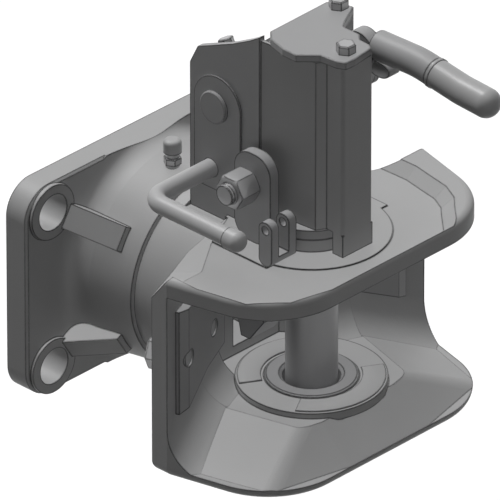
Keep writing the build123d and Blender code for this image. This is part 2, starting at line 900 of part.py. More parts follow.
# Side panels of the mechanism box, with bores for the lifting shaft
panel_foot = (
    (cover_rear, plate_floor + raised_step),
    (waist_ahead, plate_floor + raised_step),
    (waist_ahead, panel_bottom),
    (box_rear, panel_bottom),
)
high_top = (
    (box_rear, panel_rear_top),
    (box_rear + high_shoulder_run, panel_rear_top + high_shoulder_rise),
    (cover_rear - high_mid_back, panel_front_top - high_mid_down),
    (cover_rear - high_front_back, panel_front_top - high_front_down),
    (cover_rear, panel_front_top),
)
low_top = (
    (box_rear, low_rear_top),
    (low_shoulder, low_shoulder_top),
    (cover_rear - low_front_back, low_front_top),
    (cover_rear, low_front_top),
)


def box_panel(x, top, rear_top):
    """One side panel whose left face lies at x, with its top line from the rear."""
    with BuildPart() as panel:
        with BuildSketch(side_plane(x)) as panel_plan:
            Polygon(*upright(*panel_foot, *top), align=None)
            rear_corners = panel_plan.vertices().filter_by(
                lambda v: v.Z > rear_top - 5 and v.Y > -box_rear - 10
            )
            fillet(rear_corners, panel_corner_r)
            with Locations((-lift_ahead, lift_height)):
                Circle(lift_shaft_r + running, mode=Mode.SUBTRACT)
        extrude(amount=panel_thick)
    return panel


def bent_sheet(x_from, wide, *run):
    """Sheet along X whose outer face follows the run of (ahead, height) points."""
    with BuildPart() as sheet:
        with BuildSketch(side_plane(x_from)):
            with BuildLine():
                Polyline(*upright(*run))
                offset(amount=rear_sheet, side=Side.LEFT)
            make_face()
        extrude(amount=wide)
    return sheet.part


# The left panel stands higher and its top edge is bent in, with two screws in the tab
tab_rear = (box_rear + cover_set_in, panel_rear_top - rear_inset)
tab_bend = (
    box_rear + cover_set_in + high_shoulder_run,
    panel_rear_top + high_shoulder_rise - rear_inset,
)
tab_front = (cover_rear - high_mid_back, panel_front_top - high_mid_down - rear_inset)
with BuildPart() as left_panel:
    add(box_panel(-panel_outer, high_top, panel_rear_top).part)
    add(bent_sheet(-box_half, tab_wide, tab_rear, tab_bend, tab_front))
    add(cross_bar(rod_r + running, -panel_outer - 1, -box_half + 1, rod_ahead, rod_height),
        mode=Mode.SUBTRACT)
save(box_panel(box_half, low_top, low_rear_top).part, "right_panel")

# Bent rear cover between the panels
cover_low = (box_rear + cover_set_in, jaw_top)
cover_bend = (box_rear + cover_set_in, low_rear_top)
cover_bend_high = (low_shoulder, low_shoulder_top - cover_set_in)
cover_high = (cover_rear, low_front_top - cover_set_in)
save(bent_sheet(-box_half, 2 * box_half, cover_low, cover_bend, cover_bend_high, cover_high),
     "rear_cover")


def on_slope(start, end, share):
    """Point and outward direction part of the way along one run of the bent tab."""
    d = start[0] + (end[0] - start[0]) * share
    z = start[1] + (end[1] - start[1]) * share
    run = hypot(end[0] - start[0], end[1] - start[1])
    outward = (0, (end[1] - start[1]) / run, (end[0] - start[0]) / run)
    return d, z, outward


with BuildPart() as rear_screws:
    for start, end, share in ((tab_rear, tab_bend, 0.5), (tab_bend, tab_front, 0.41)):
        d, z, outward = on_slope(start, end, share)
        add(hex_screw((rear_screw_x, -d, z), tuple(-c for c in outward), rear_screw_af,
                      rear_screw_af * 0.55, rear_screw_r, rear_sheet + 5))
with BuildPart() as left_panel_drilled:
    add(left_panel.part)
    add(rear_screws.part, mode=Mode.SUBTRACT)
save(left_panel_drilled.part, "left_panel")
save(rear_screws.part, "rear_screws")

# Arch plate on the left panel, bearing the lifting shaft and the release rod
with BuildPart() as arch_plate:
    with BuildSketch(side_plane(-panel_outer - arch_thick)):
        with Locations((-arch_ahead, arch_high)):
            Circle(arch_r)
        with Locations((-arch_ahead, (arch_high + arch_bottom) / 2)):
            Rectangle(2 * arch_r, arch_high - arch_bottom)
        with Locations((-lift_ahead, lift_height)):
            Circle(lift_shaft_r + running, mode=Mode.SUBTRACT)
        with Locations((-rod_ahead, rod_height)):
            Circle(rod_r + running, mode=Mode.SUBTRACT)
    extrude(amount=arch_thick)
save(arch_plate.part, "arch_plate")

shaft_left = -panel_outer - arch_thick - shaft_end_proud
with BuildPart() as shaft_cap:
    with BuildSketch(side_plane(-panel_outer - arch_thick - shaft_cap_high)):
        with Locations((-lift_ahead, lift_height)):
            Circle(shaft_cap_r)
    extrude(amount=shaft_cap_high)
    fillet(shaft_cap.faces().sort_by(Axis.X)[0].edges(), 1)
    add(cross_bar(lift_shaft_r + slip, shaft_left - slip, 0, lift_ahead, lift_height),
        mode=Mode.SUBTRACT)
save(shaft_cap.part, "shaft_cap")

# Bracket plate left of the tower with its stud, and the forked lug ahead of it
with BuildPart() as bracket_plate:
    with BuildSketch(side_plane(bracket_x - bracket_thick / 2)) as bracket_plan:
        with Locations((-bracket_ahead, (plate_floor + raised_step + bracket_top) / 2)):
            Rectangle(bracket_long, bracket_top - plate_floor - raised_step)
        fillet(bracket_plan.vertices().group_by(Axis.Z)[-1], bracket_corner_r)
        with Locations((-stud_ahead, stud_height)):
            Circle(stud_r, mode=Mode.SUBTRACT)
    extrude(amount=bracket_thick)
save(bracket_plate.part, "bracket_plate")

nut_face = bracket_x - bracket_thick / 2
with BuildPart() as bracket_stud:
    add(cross_bar(stud_r, nut_face - stud_nut_long - 4, -panel_outer, stud_ahead, stud_height))
save(bracket_stud.part, "bracket_stud")

with BuildPart() as bracket_nut:
    with BuildSketch(side_plane(nut_face - stud_nut_long)):
        with Locations((-stud_ahead, stud_height)):
            RegularPolygon(stud_nut_af / 2, 6, major_radius=False, rotation=30)
            Circle(stud_r, mode=Mode.SUBTRACT)
    extrude(amount=stud_nut_long)
save(bracket_nut.part, "bracket_nut")

with BuildPart() as fork_lug:
    with BuildSketch(side_plane(fork_x - fork_wide / 2)) as fork_plan:
        with Locations((-fork_ahead, (plate_floor + raised_step + fork_top) / 2)):
            Rectangle(fork_long, fork_top - plate_floor - raised_step)
        fillet(fork_plan.vertices().group_by(Axis.Z)[-1], fork_long * 0.45)
        with Locations((-fork_ahead, fork_top - fork_long / 2)):
            Circle(fork_hole_r, mode=Mode.SUBTRACT)
    extrude(amount=fork_wide)
    with BuildSketch(side_plane(fork_x - fork_gap / 2)):
        with Locations((-fork_ahead, fork_top)):
            Rectangle(fork_long + 2, 2 * (fork_top - fork_root))
    extrude(amount=fork_gap, mode=Mode.SUBTRACT)
save(fork_lug.part, "fork_lug")

# Coupling pin with a rounded tip, and the crosshead that lifts it
with BuildPart() as coupling_pin:
    with BuildSketch(Plane.XY.offset(pin_tip)):
        with Locations((0, -pin_ahead)):
            Circle(pin_r)
    extrude(amount=pin_top - pin_spigot_long - pin_tip)
    chamfer(coupling_pin.faces().sort_by(Axis.Z)[0].edges(), pin_chamfer)
    with BuildSketch(Plane.XY.offset(pin_top)):
        with Locations((0, -pin_ahead)):
            Circle(pin_spigot_r)
    extrude(amount=-pin_spigot_long)
save(coupling_pin.part, "coupling_pin")

with BuildPart() as crosshead:
    with BuildSketch(Plane.XY.offset(pin_top)):
        with Locations((0, -(crosshead_rear + crosshead_front) / 2)):
            Rectangle(2 * crosshead_half, crosshead_front - crosshead_rear)
    extrude(amount=2 * crosshead_half_z)
    fillet(crosshead.edges().filter_by(Axis.Z), 2)
    with BuildSketch(Plane.XY.offset(crosshead_mid - roller_r - slot_play)):
        for side in (-1, 1):
            with Locations((side * (crosshead_core + 10), -pin_ahead)):
                Rectangle(20, 60)
    extrude(amount=2 * (roller_r + slot_play), mode=Mode.SUBTRACT)
save(crosshead.part, "crosshead")

# Lifting shaft with its twin arm, rollers and outer crank
with BuildPart() as lift_shaft:
    add(cross_bar(lift_shaft_r, shaft_left, crank_out, lift_ahead, lift_height))
save(lift_shaft.part, "lift_shaft")

lift_root = (lift_ahead, lift_height)
arm_tip = at_angle(*lift_root, lift_arm_r, -lift_half_angle)
with BuildPart() as lift_arm:
    add(cross_bar(lift_hub_r, -arm_outer, arm_outer, *lift_root))
    for inner in (arm_inner, -arm_outer):
        add(lever_arm(inner, inner + arm_thick, lift_root, lift_hub_r + 2, arm_tip, arm_boss_r))
    add(cross_bar(lift_shaft_r, -arm_outer, arm_outer, *lift_root), mode=Mode.SUBTRACT)
    for inner in (arm_inner, -arm_outer):
        add(cross_bar(roller_pin_r, inner, inner + arm_thick, *arm_tip), mode=Mode.SUBTRACT)
save(lift_arm.part, "lift_arm")

with BuildPart() as lift_rollers:
    add(cross_bar(roller_r, crosshead_core + slip, arm_inner, *arm_tip))
    add(cross_bar(roller_pin_r, arm_inner, arm_outer, *arm_tip))
    add(cross_bar(roller_r, -arm_inner, -crosshead_core - slip, *arm_tip))
    add(cross_bar(roller_pin_r, -arm_outer, -arm_inner, *arm_tip))
save(lift_rollers.part, "lift_rollers")

crank_angle = crank_mid_angle - lift_half_angle
outer_pin = at_angle(*lift_root, crank_r, crank_angle)
with BuildPart() as outer_crank:
    add(lever_arm(crank_in, crank_out, lift_root, lift_hub_r, outer_pin, link_boss_r))
    add(cross_bar(lift_shaft_r, crank_in, crank_out, *lift_root), mode=Mode.SUBTRACT)
    add(cross_bar(crank_pin_r, crank_out, crank_out + link_thick + 1.5, *outer_pin))
save(outer_crank.part, "outer_crank")

# Closing spring wound round the lifting shaft's hub, its tail against the rear cover
spring_r = lift_hub_r + spring_play + spring_wire_r
with BuildPart() as closing_spring:
    with BuildLine():
        coil = Helix(
            pitch=2 * spring_half / spring_turns,
            height=2 * spring_half,
            radius=spring_r,
            center=(-spring_half, -lift_ahead, lift_height),
            direction=(1, 0, 0),
        )
    with BuildSketch(Plane(origin=coil @ 0, z_dir=coil % 0)) as wire_end:
        Circle(spring_wire_r)
    sweep()
    extrude(wire_end.sketch, amount=-spring_tail)
save(closing_spring.part, "closing_spring")

# Hand lever: hub, shaft and crank, then the bent bar and its grip
lever_root = (lever_ahead, lever_height)
lever_pin = at_angle(*lever_root, crank_r, crank_angle)
with BuildPart() as hand_lever:
    add(cross_bar(lever_hub_r, lever_hub_in, crank_out, *lever_root))
    add(cross_bar(lever_shaft_r, crosshead_half + 1.5, lever_hub_in, *lever_root))
    add(lever_arm(crank_in, crank_out, lever_root, lever_hub_r, lever_pin, link_boss_r))
    with BuildLine(side_plane(grip_x)):
        bar_path = FilletPolyline(*from_lever(*lever_bar_points), radius=lever_bend_r)
    with BuildSketch(Plane(origin=bar_path @ 0, z_dir=bar_path % 0)):
        Circle(grip_r)
    sweep(path=bar_path)
save(hand_lever.part, "hand_lever")

with BuildPart() as lever_grip:
    with BuildLine(side_plane(grip_x)):
        grip_path = FilletPolyline(*from_lever(*lever_grip_points), radius=lever_bend_r)
    with BuildSketch(Plane(origin=grip_path @ 0, z_dir=grip_path % 0)):
        Circle(grip_r)
    sweep(path=grip_path)
    fillet(lever_grip.faces().sort_by(Axis.Y)[0].edges(), grip_end_r)
save(lever_grip.part, "lever_grip")

with BuildPart() as lever_crank_pin:
    add(cross_bar(crank_pin_r, crank_out, crank_out + link_thick + 1.5, *lever_pin))
save(lever_crank_pin.part, "lever_crank_pin")

# Link between the two cranks
link_in = crank_out + slip
with BuildPart() as lift_link:
    add(lever_arm(link_in, link_in + link_thick, outer_pin, link_boss_r, lever_pin, link_boss_r))
    add(cross_bar(crank_pin_r + slip, crank_out, crank_out + 20, *outer_pin), mode=Mode.SUBTRACT)
    add(cross_bar(crank_pin_r + running, crank_out, crank_out + 20, *lever_pin),
        mode=Mode.SUBTRACT)
save(lift_link.part, "lift_link")

# Bent release rod, with a collar inside the box and a sleeve on its free end
with BuildPart() as release_rod:
    with BuildLine(Plane.XY.offset(rod_height)):
        rod_path = FilletPolyline(
            (-box_half + 3, -rod_ahead),
            (-rod_reach, -rod_ahead),
            (-rod_reach, -rod_sleeve_start),
            radius=rod_bend_r,
        )
    with BuildSketch(Plane(origin=rod_path @ 0, z_dir=rod_path % 0)):
        Circle(rod_r)
    sweep(path=rod_path)
    add(cross_bar(rod_r + 3, -box_half + slip, -box_half + 3, rod_ahead, rod_height))
save(release_rod.part, "release_rod")

with BuildPart() as rod_sleeve:
    with BuildSketch(Plane.XZ.offset(rod_sleeve_start)):
        with Locations((-rod_reach, rod_height)):
            Circle(rod_r + rod_sleeve_wall)
    extrude(amount=rod_end - rod_sleeve_start)
    fillet(rod_sleeve.faces().sort_by(Axis.Y)[0].edges(), rod_r)
save(rod_sleeve.part, "rod_sleeve")

# Trigger tongue that the drawbar eye pushes back, and its hinge pin
with BuildPart() as trigger:
    with BuildSketch(side_plane(-trigger_half)) as tongue:
        with Locations((-trigger_ahead, trigger_height)):
            Circle(trigger_hub_r)
        Polygon(*upright(*trigger_outline), align=None)
    extrude(amount=2 * trigger_half)
    with BuildSketch(side_plane(-tail_half)):
        Polygon(*upright(*tail_outline), align=None)
    extrude(amount=2 * tail_half)
    add(cross_bar(trigger_pin_r + running, -30, 30, trigger_ahead, trigger_height),
        mode=Mode.SUBTRACT)
save(trigger.part, "trigger")

with BuildPart() as trigger_pin:
    add(cross_bar(trigger_pin_r, -trigger_pin_half, trigger_pin_half, trigger_ahead,
                  trigger_height))
save(trigger_pin.part, "trigger_pin")
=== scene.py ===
# %% [markdown]
# This lesson dresses a towing jaw for heavy trailers. The jaw turns on a flange, a drawbar eye
# enters its mouth, and a hand lever lifts a steel pin. The measured solids come from the packed
# model, in metres, and stay where they are. Here they get their finishes, the small pieces that
# are quicker to shape by hand, a floor, the light and a camera.

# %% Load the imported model
import math

import bpy
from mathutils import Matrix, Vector


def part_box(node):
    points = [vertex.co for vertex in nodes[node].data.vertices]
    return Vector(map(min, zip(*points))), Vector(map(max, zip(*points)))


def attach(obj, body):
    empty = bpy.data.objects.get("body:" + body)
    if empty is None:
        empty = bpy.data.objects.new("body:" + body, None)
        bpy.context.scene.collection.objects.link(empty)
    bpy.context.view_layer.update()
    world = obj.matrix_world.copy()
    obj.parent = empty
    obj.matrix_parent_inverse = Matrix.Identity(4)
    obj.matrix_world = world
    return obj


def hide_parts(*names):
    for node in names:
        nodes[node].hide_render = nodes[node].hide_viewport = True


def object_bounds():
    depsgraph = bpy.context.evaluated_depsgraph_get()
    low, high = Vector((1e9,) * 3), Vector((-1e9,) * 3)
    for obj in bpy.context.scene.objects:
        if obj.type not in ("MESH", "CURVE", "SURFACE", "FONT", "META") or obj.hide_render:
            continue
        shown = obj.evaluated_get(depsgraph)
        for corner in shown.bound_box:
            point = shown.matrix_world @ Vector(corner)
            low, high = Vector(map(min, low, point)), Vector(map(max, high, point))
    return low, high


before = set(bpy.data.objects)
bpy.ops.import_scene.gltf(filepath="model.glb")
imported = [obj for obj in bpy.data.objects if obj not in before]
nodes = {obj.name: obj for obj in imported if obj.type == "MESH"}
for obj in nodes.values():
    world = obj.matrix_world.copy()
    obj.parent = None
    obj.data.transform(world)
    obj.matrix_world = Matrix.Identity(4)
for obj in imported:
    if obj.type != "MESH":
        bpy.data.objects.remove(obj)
cad_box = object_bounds()
print("solids loaded:", len(nodes))

# %% [markdown]
# The camera comes first, because every look is judged through it. The drawing shows no
# perspective. A camera without perspective would do. A long lens far away looks the same here,
# and is set as on a real camera. It stands at the front left and looks down thirty degrees.

# %% Camera
VIEW_TURN = math.radians(46)
VIEW_TILT = math.radians(30)
VIEW_CENTRE = Vector((0.04260, -0.05330, -0.01105))
VIEW_DISTANCE = 9.0
VIEW_WIDTH = 0.2836
SENSOR = 36.0
NEAREST, FARTHEST = 1.0, 50.0

towards_camera = Vector((
    -math.cos(VIEW_TILT) * math.sin(VIEW_TURN),
    -math.cos(VIEW_TILT) * math.cos(VIEW_TURN),
    math.sin(VIEW_TILT),
))
camera_data = bpy.data.cameras.new("drawing_camera")
camera = bpy.data.objects.new("drawing_camera", camera_data)
bpy.context.scene.collection.objects.link(camera)
camera_data.sensor_width = SENSOR
camera_data.lens = SENSOR * VIEW_DISTANCE / VIEW_WIDTH
camera_data.clip_start = NEAREST
camera_data.clip_end = FARTHEST
camera.location = VIEW_CENTRE + towards_camera * VIEW_DISTANCE
camera.rotation_euler = (-towards_camera).to_track_quat("-Z", "Y").to_euler()
bpy.context.scene.camera = camera
print("lens in millimetres:", round(camera_data.lens))

# %% [markdown]
# Light decides how the forms read. The drawing has bright tops, darker fronts and no deep
# shadows, so a hard studio lamp would be wrong. The strongest lamp stands high and a little
# behind, and casts no shadow. A wide soft one casts the only shadow. Two weak ones, one almost
# overhead and one beside the camera, open the slopes that face the viewer. Their levels add up to
# about one on a level face, so that a colour renders about as it is written.

# %% Lamps
def add_sun(name, towards, level, spread, shadow):
    """Distant lamp. Level 1 shows a facing surface in its own colour."""
    data = bpy.data.lights.new(name, "SUN")
    data.energy = level * math.pi
    data.angle = math.radians(spread)
    data.use_shadow = shadow
    lamp = bpy.data.objects.new(name, data)
    lamp.rotation_euler = Vector(towards).to_track_quat("Z", "Y").to_euler()
    bpy.context.scene.collection.objects.link(lamp)
    print(name, "level:", level)
    return lamp


add_sun("top_lamp", (-0.04, 0.50, 0.86), 0.68, 10, False)
add_sun("soft_lamp", (0.10, 0.30, 0.95), 0.16, 60, True)
add_sun("slope_lamp", (-0.12, -0.25, 0.96), 0.12, 20, False)
add_sun("front_lamp", tuple(towards_camera), 0.04, 40, False)
bpy.context.scene.view_settings.view_transform = "Standard"

# %% [markdown]
# The background has to be white, but a white sky would flood the jaw with light. A Light Path
# node tells what a ray is for: the eye, a reflection and clear glass get the white sky, and
# the surfaces get a dim one. A painted backdrop would need a new place for each view.

# %% Plain world that is white to the eye and dim to the object
SKY_SEEN = 1.0
SKY_LIGHT = 0.024
WHITE = (1.0, 1.0, 1.0, 1.0)


def seen_directly(tree):
    """Factor that is one for what the camera, a reflection or clear glass shows."""
    path = tree.nodes.new("ShaderNodeLightPath")
    total = path.outputs["Is Camera Ray"]
    for name in ("Is Glossy Ray", "Is Transmission Ray"):
        join = tree.nodes.new("ShaderNodeMath")
        join.operation = "MAXIMUM"
        tree.links.new(total, join.inputs[0])
        tree.links.new(path.outputs[name], join.inputs[1])
        total = join.outputs[0]
    return total


world = bpy.data.worlds.new("studio")
bpy.context.scene.world = world
world.use_nodes = True
sky = world.node_tree.nodes["Background"]
sky.inputs["Color"].default_value = WHITE
strength = world.node_tree.nodes.new("ShaderNodeMapRange")
strength.inputs["To Min"].default_value = SKY_LIGHT
strength.inputs["To Max"].default_value = SKY_SEEN
world.node_tree.links.new(seen_directly(world.node_tree), strength.inputs["Value"])
world.node_tree.links.new(strength.outputs["Result"], sky.inputs["Strength"])
print("sky seen at", SKY_SEEN, "and felt at", SKY_LIGHT)

# %% [markdown]
# The floor is one large pale sheet. The jaw can turn right over about the drawbar's axis, which
# lies at height zero, so the floor lies lower than the lid's screws reach then. The eye sees the
# floor nearly white. It sends little light back, because the drawing keeps the undersides dark.

# %% Floor
FLOOR_GAP = 0.008
FLOOR_SIZE = 12.0
FLOOR_BOUNCE = (0.06, 0.06, 0.06, 1.0)
FLOOR_GLOW = 0.16
FLOOR_ROUGHNESS = 0.9

bpy.ops.object.select_all(action="DESELECT")
bpy.ops.mesh.primitive_grid_add(
    x_subdivisions=4, y_subdivisions=4, size=FLOOR_SIZE,
    location=(0, 0, -cad_box[1][2] - FLOOR_GAP)
)
floor = bpy.context.active_object
floor.name = "floor"
print("floor height:", round(floor.location.z, 4))

# %% Paint of the floor
floor_paint = bpy.data.materials.new("pale_floor")
floor_paint.use_nodes = True
tree = floor_paint.node_tree
shader = tree.nodes["Principled BSDF"]
shader.inputs["Roughness"].default_value = FLOOR_ROUGHNESS
shader.inputs["Specular IOR Level"].default_value = 0.0
mix = tree.nodes.new("ShaderNodeMix")
mix.data_type = "RGBA"
mix.inputs[6].default_value = FLOOR_BOUNCE
mix.inputs[7].default_value = WHITE
tree.links.new(seen_directly(tree), mix.inputs[0])
tree.links.new(mix.outputs[2], shader.inputs["Base Color"])
lift = tree.nodes.new("ShaderNodeMath")
lift.operation = "MULTIPLY"
lift.inputs[1].default_value = FLOOR_GLOW
tree.links.new(seen_directly(tree), lift.inputs[0])
tree.links.new(lift.outputs[0], shader.inputs["Emission Strength"])
shader.inputs["Emission Color"].default_value = WHITE
floor.data.materials.append(floor_paint)
print("floor painted:", floor_paint.name)

# %% [markdown]
# Everything on the jaw is one grey family: painted castings, painted sheet, turned steel, zinc
# screws and a dipped grip. One recipe with different values makes them all, which keeps them
# alike. Its parts follow one by one. They read the piece's own coordinates, so that nothing slides
# when the piece moves.
#
# Paint is never quite even. A large soft noise lightens and darkens it by a few parts in a hundred.

# %% Cloudy shade
CLOUD = 0.05
CLOUD_SCALE = 28.0
CLOUD_DETAIL = 3.0


def cloudy_shade(tree, place):
    """Factor near one that drifts slowly over the surface."""
    clouds = tree.nodes.new("ShaderNodeTexNoise")
    clouds.inputs["Scale"].default_value = CLOUD_SCALE
    clouds.inputs["Detail"].default_value = CLOUD_DETAIL
    tree.links.new(place, clouds.inputs["Vector"])
    shade = tree.nodes.new("ShaderNodeMapRange")
    shade.inputs["To Min"].default_value = 1.0 - CLOUD
    shade.inputs["To Max"].default_value = 1.0 + CLOUD
    tree.links.new(clouds.outputs["Fac"], shade.inputs["Value"])
    return shade.outputs["Result"]


# %% [markdown]
# The drawing has a thin dark line along most edges, and the colour is darkened along them in the
# same way. The lines could be tubes laid on the edges, or a painted texture. A Bevel node is
# simpler: it gives the direction that a rounded edge would face. Where that differs from the true
# direction, an edge is near, and the colour goes dark.

# %% Dark line along the edges
EDGE_WIDTH = 0.0014
EDGE_TONE = 0.03
EDGE_SAMPLES = 6
EDGE_DARK_AT = 0.965
EDGE_GONE_AT = 0.998


def edge_line(tree):
    """Factor that falls from one to EDGE_TONE beside an edge."""
    rounded = tree.nodes.new("ShaderNodeBevel")
    rounded.samples = EDGE_SAMPLES
    rounded.inputs["Radius"].default_value = EDGE_WIDTH
    flat = tree.nodes.new("ShaderNodeNewGeometry")
    agree = tree.nodes.new("ShaderNodeVectorMath")
    agree.operation = "DOT_PRODUCT"
    tree.links.new(rounded.outputs["Normal"], agree.inputs[0])
    tree.links.new(flat.outputs["Normal"], agree.inputs[1])
    line = tree.nodes.new("ShaderNodeMapRange")
    line.inputs["From Min"].default_value = EDGE_DARK_AT
    line.inputs["From Max"].default_value = EDGE_GONE_AT
    line.inputs["To Min"].default_value = EDGE_TONE
    line.inputs["To Max"].default_value = 1.0
    tree.links.new(agree.outputs["Value"], line.inputs["Value"])
    return line.outputs["Result"]


# %% [markdown]
# Up close a casting is grainy, and sheet and turned steel are smoother. A fine noise gives each
# its grain, and two numbers say how coarse and how deep. It changes both the gloss and the relief.

# %% Fine grain
GLOSS_CHANGE = 0.06
GRAIN_DETAIL = 4.0
GRAIN_STRENGTH = 0.35


def add_grain(tree, place, shader, roughness, grain_size, grain_depth):
    """Let a fine noise change a shader's gloss and relief."""
    grain = tree.nodes.new("ShaderNodeTexNoise")
    grain.inputs["Scale"].default_value = 1.0 / grain_size
    grain.inputs["Detail"].default_value = GRAIN_DETAIL
    tree.links.new(place, grain.inputs["Vector"])
    sheen = tree.nodes.new("ShaderNodeMapRange")
    sheen.inputs["To Min"].default_value = roughness - GLOSS_CHANGE
    sheen.inputs["To Max"].default_value = roughness + GLOSS_CHANGE
    tree.links.new(grain.outputs["Fac"], sheen.inputs["Value"])
    tree.links.new(sheen.outputs["Result"], shader.inputs["Roughness"])
    relief = tree.nodes.new("ShaderNodeBump")
    relief.inputs["Strength"].default_value = GRAIN_STRENGTH
    relief.inputs["Distance"].default_value = grain_depth
    tree.links.new(grain.outputs["Fac"], relief.inputs["Height"])
    tree.links.new(relief.outputs["Normal"], shader.inputs["Normal"])


# %% The whole recipe
SHINE = 0.4


def finish(name, colour, roughness, metallic, grain_size, grain_depth):
    """Grey finish: base colour, cloudy change, darker edges and fine grain."""
    material = bpy.data.materials.new(name)
    material.use_nodes = True
    tree = material.node_tree
    shader = tree.nodes["Principled BSDF"]
    shader.inputs["Metallic"].default_value = metallic
    shader.inputs["Specular IOR Level"].default_value = SHINE
    place = tree.nodes.new("ShaderNodeTexCoord").outputs["Object"]
    tone = tree.nodes.new("ShaderNodeMath")
    tone.operation = "MULTIPLY"
    tree.links.new(cloudy_shade(tree, place), tone.inputs[0])
    tree.links.new(edge_line(tree), tone.inputs[1])
    tint = tree.nodes.new("ShaderNodeVectorMath")
    tint.operation = "SCALE"
    tint.inputs[0].default_value = colour
    tree.links.new(tone.outputs["Value"], tint.inputs["Scale"])
    tree.links.new(tint.outputs["Vector"], shader.inputs["Base Color"])
    add_grain(tree, place, shader, roughness, grain_size, grain_depth)
    return material


# %% [markdown]
# The seven finishes differ in colour, roughness, share of metal, and grain size and depth in
# metres. The greys were set by comparing the render with the drawing, face by face. A little
# metal makes steel and zinc livelier than paint without making them mirrors.

# %% Finishes of the jaw
FINISH_VALUES = {
    "cast_paint": ((0.375, 0.375, 0.377), 0.55, 0.0, 0.0011, 0.00012),
    "sheet_paint": ((0.325, 0.325, 0.329), 0.50, 0.0, 0.0020, 0.00005),
    "turned_steel": ((0.320, 0.320, 0.325), 0.42, 0.20, 0.0030, 0.00003),
    "zinc_screw": ((0.400, 0.400, 0.405), 0.38, 0.30, 0.0025, 0.00003),
    "rod_coat": ((0.420, 0.420, 0.424), 0.45, 0.0, 0.0022, 0.00004),
    "dipped_grip": ((0.370, 0.370, 0.372), 0.42, 0.0, 0.0016, 0.00003),
    "bearing_metal": ((0.360, 0.355, 0.340), 0.40, 0.35, 0.0025, 0.00003),
}
FINISHES = {name: finish(name, *values) for name, values in FINISH_VALUES.items()}
print("finishes:", ", ".join(FINISHES))

# %% Which solid wears which finish
WEARERS = {
    "cast_paint": ("flange_housing", "jaw_casting", "tower_cover"),
    "sheet_paint": (
        "left_pad", "right_pad", "tower_base", "left_panel", "right_panel", "rear_cover",
        "arch_plate", "lid", "bracket_plate", "fork_lug", "outer_crank", "hand_lever",
        "lift_link", "shaft_cap",
    ),
    "turned_steel": (
        "rear_washer", "lower_bush", "pin_guide", "closing_spring", "trigger_pin",
        "coupling_pin", "crosshead", "lift_shaft", "lift_arm", "lift_rollers", "trigger",
    ),
    "zinc_screw": (
        "grease_nipple", "castle_nut", "split_pin", "pad_screws", "rear_screws", "lid_screws",
        "bracket_stud", "bracket_nut", "lever_crank_pin",
    ),
    "rod_coat": ("release_rod", "rod_sleeve"),
    "dipped_grip": ("lever_grip", "nipple_cap"),
    "bearing_metal": ("bearing_bush", "thrust_ring"),
}
dressed = []
for finish_name, wearers in WEARERS.items():
    for node_name in wearers:
        for place in nodes[node_name].material_slots:
            place.material = FINISHES[finish_name]
        dressed.append(node_name)
print("still bare:", sorted(set(nodes) - set(dressed)))

# %% [markdown]
# Some small forms are quicker to shape here than in the solid model. Each starts from a
# primitive, is shaped in edit mode and by modifiers, and ends with its place in its own mesh. The
# same few steps come back in every piece, so they are written once. A new object must not drag
# the loaded solids along, which is why each step first selects nothing and then its own piece.

# %% Shared steps: select and settle
def begin():
    """Leave edit mode, if it is on, and select nothing."""
    if bpy.context.mode != "OBJECT":
        bpy.ops.object.mode_set(mode="OBJECT")
    bpy.ops.object.select_all(action="DESELECT")


def take(piece):
    """Select one piece alone and make it the active one."""
    begin()
    piece.select_set(True)
    bpy.context.view_layer.objects.active = piece


def settle(piece):
    """Put a piece's place, turn and scale into its mesh."""
    take(piece)
    bpy.ops.object.transform_apply(location=True, rotation=True, scale=True)


def put(piece, location):
    """Move a piece and settle it there."""
    piece.location = location
    settle(piece)


def turn(piece, rotation):
    """Turn a piece about the origin and settle it."""
    piece.rotation_euler = rotation
    settle(piece)


# %% Shared steps: close, modify and soften
WELD = 0.000002
SHARP_ANGLE = math.radians(35)


def close_up(piece):
    """Fill a piece's open ends and turn its faces outward."""
    take(piece)
    bpy.ops.object.mode_set(mode="EDIT")
    bpy.ops.mesh.select_all(action="SELECT")
    bpy.ops.mesh.remove_doubles(threshold=WELD)
    bpy.ops.mesh.fill_holes(sides=0)
    bpy.ops.mesh.select_all(action="SELECT")
    bpy.ops.mesh.normals_make_consistent(inside=False)
    bpy.ops.object.mode_set(mode="OBJECT")


def use_modifier(piece, kind, **settings):
    """Add one modifier with its settings and apply it."""
    take(piece)
    step = piece.modifiers.new(kind.lower(), kind)
    for key, value in settings.items():
        setattr(step, key, value)
    bpy.ops.object.modifier_apply(modifier=step.name)


def soften(piece, width, segments=2):
    """Round a piece's sharp edges and shade its curved faces smooth."""
    use_modifier(piece, "BEVEL", width=width, segments=segments, limit_method="ANGLE",
                 angle_limit=SHARP_ANGLE)
    take(piece)
    bpy.ops.object.shade_smooth_by_angle(angle=SHARP_ANGLE)


# %% Shared steps: finish a piece and hand it over
def hand_over(piece, name, finish_name, body):
    """Name a finished piece, give it its finish and fix it to its body."""
    settle(piece)
    piece.name = name
    piece.data.materials.clear()
    piece.data.materials.append(FINISHES[finish_name])
    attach(piece, body)
    print(name, "faces:", len(piece.data.polygons))


# %% [markdown]
# A crescent, a lip and a thread are all a small profile carried round an axis. Spin in edit mode
# would do for the first two. The Screw modifier does all three, because it can also climb as it
# turns, and its number of steps is one setting.

